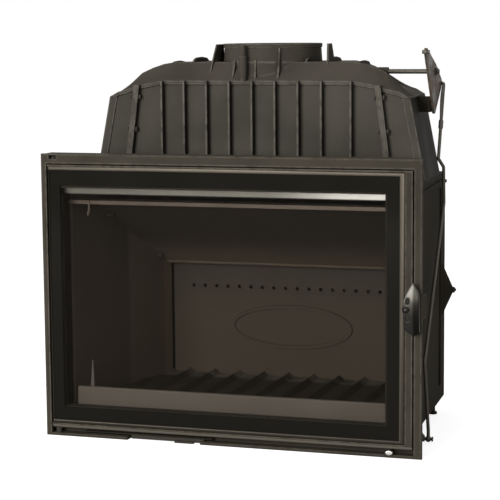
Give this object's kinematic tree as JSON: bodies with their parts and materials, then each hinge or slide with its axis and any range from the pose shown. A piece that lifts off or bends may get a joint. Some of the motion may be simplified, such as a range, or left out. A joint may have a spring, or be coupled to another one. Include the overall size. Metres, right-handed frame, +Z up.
{
  "type": "fireplace insert",
  "caption": "Cast-iron fireplace insert with a wide glazed side-hinged door, leaf handle, finned smoke hood, round flue collar and a damper worked by a lever, rod and knob.",
  "frame": {"origin": "middle of the front frame's underside, half way through the frame's depth", "axes": "+X to the viewer's right, +Y from the door to the rear, +Z up"},
  "size_m": [0.8, 0.5045, 0.809],
  "materials": {
    "cast_iron": "dull dark stove paint on cast iron, slightly rough",
    "body_steel": "dark painted sheet steel, dusty",
    "firebox_iron": "bare cast iron lining plates, warm grey",
    "dark_steel": "blackened steel fasteners",
    "linkage_steel": "bare steel with a thin tan rust bloom",
    "polished_steel": "polished stainless steel",
    "handle_steel": "satin dark nickel",
    "ceramic_glass": "clear ceramic glass with a black printed border",
    "seal_fibre": "graphited glass-fibre rope"
  },
  "bodies": {
    "body": {"air_duct": "body_steel", "air_wash_lip": "polished_steel", "andiron_posts": "firebox_iron", "back_lining": "firebox_iron", "back_wall": "body_steel", "baffle": "firebox_iron", "baffle_pins": "dark_steel", "bar_hook": "linkage_steel", "base_plate": "body_steel", "body_top": "body_steel", "boss_cap_nuts": "dark_steel", "collar_screws": "dark_steel", "crank_bush": "dark_steel", "dome": "cast_iron", "dome_stud": "dark_steel", "flue_collar": "cast_iron", "frame_bolts": "dark_steel", "front_frame": "cast_iron", "hearth_floor": "firebox_iron", "hinge_pins": "dark_steel", "hood_back": "cast_iron", "hood_base_bolts": "dark_steel", "hood_centre": "cast_iron", "hood_left": "cast_iron", "hood_right": "cast_iron", "hood_seam_bolts": "dark_steel", "latch_keeper": "dark_steel", "levelling_bolts": "dark_steel", "levelling_nuts": "dark_steel", "lever_bracket": "linkage_steel", "log_fender": "firebox_iron", "low_bar": "linkage_steel", "shaft_bush": "dark_steel", "side_lining_left": "firebox_iron", "side_lining_right": "firebox_iron", "side_wall_left": "body_steel", "side_wall_right": "body_steel", "slide_guide": "dark_steel"},
    "door": {"door_frame": "cast_iron", "glass_bead": "polished_steel", "door_glass": "ceramic_glass", "glass_gasket": "seal_fibre", "bead_screws": "dark_steel", "door_rope_seal": "seal_fibre"},
    "handle": {"handle_blade": "handle_steel", "handle_spindle": "dark_steel", "handle_nut": "polished_steel", "latch_cam": "dark_steel", "cam_nut": "dark_steel"},
    "air_slide": {"air_slide": "body_steel"},
    "damper": {"damper_disc": "cast_iron", "damper_shaft": "dark_steel", "disc_screws": "dark_steel", "damper_lever": "linkage_steel", "lever_nut": "dark_steel"},
    "rod": {"link_rod": "linkage_steel", "rod_sleeve": "linkage_steel"},
    "crank": {"damper_crank": "linkage_steel"},
    "knob": {"knob_rod": "linkage_steel", "control_knob": "polished_steel"}
  },
  "joints": [
    {"name": "door_hinge", "type": "hinge", "parent": "body", "child": "door", "pos_m": [-0.374, -0.013, 0.292], "axis": [0, 0, -1], "range_deg": [0, 100]},
    {"name": "handle_turn", "type": "hinge", "parent": "door", "child": "handle", "pos_m": [0.374, -0.012, 0.301], "axis": [0, 1, 0], "range_deg": [0, 90]},
    {"name": "air_slide_slide", "type": "slide", "parent": "body", "child": "air_slide", "axis": [1, 0, 0], "range_m": [-0.098, 0.012]},
    {"name": "damper_turn", "type": "hinge", "parent": "body", "child": "damper", "pos_m": [0, 0.311, 0.749], "axis": [1, 0, 0], "range_deg": [0, 70]},
    {"name": "rod_hook", "type": "hinge", "parent": "damper", "child": "rod", "pos_m": [0.3525, 0.368, 0.723], "axis": [1, 0, 0], "range_deg": [-70.1, 0.1]},
    {"name": "crank_turn", "type": "hinge", "parent": "body", "child": "crank", "pos_m": [0.36, 0.061, 0.036], "axis": [1, 0, 0], "range_deg": [-0.1, 70.1]},
    {"name": "knob_pull", "type": "slide", "parent": "body", "child": "knob", "axis": [0, -1, 0], "range_m": [0, 0.015]}
  ],
  "couplings": [
    {"joint": "rod_hook", "follows": "damper_turn", "ratio": -1},
    {"joint": "crank_turn", "follows": "damper_turn", "ratio": 1},
    {"joint": "knob_pull", "follows": "damper_turn", "m_per_rad": 0.0122}
  ]
}
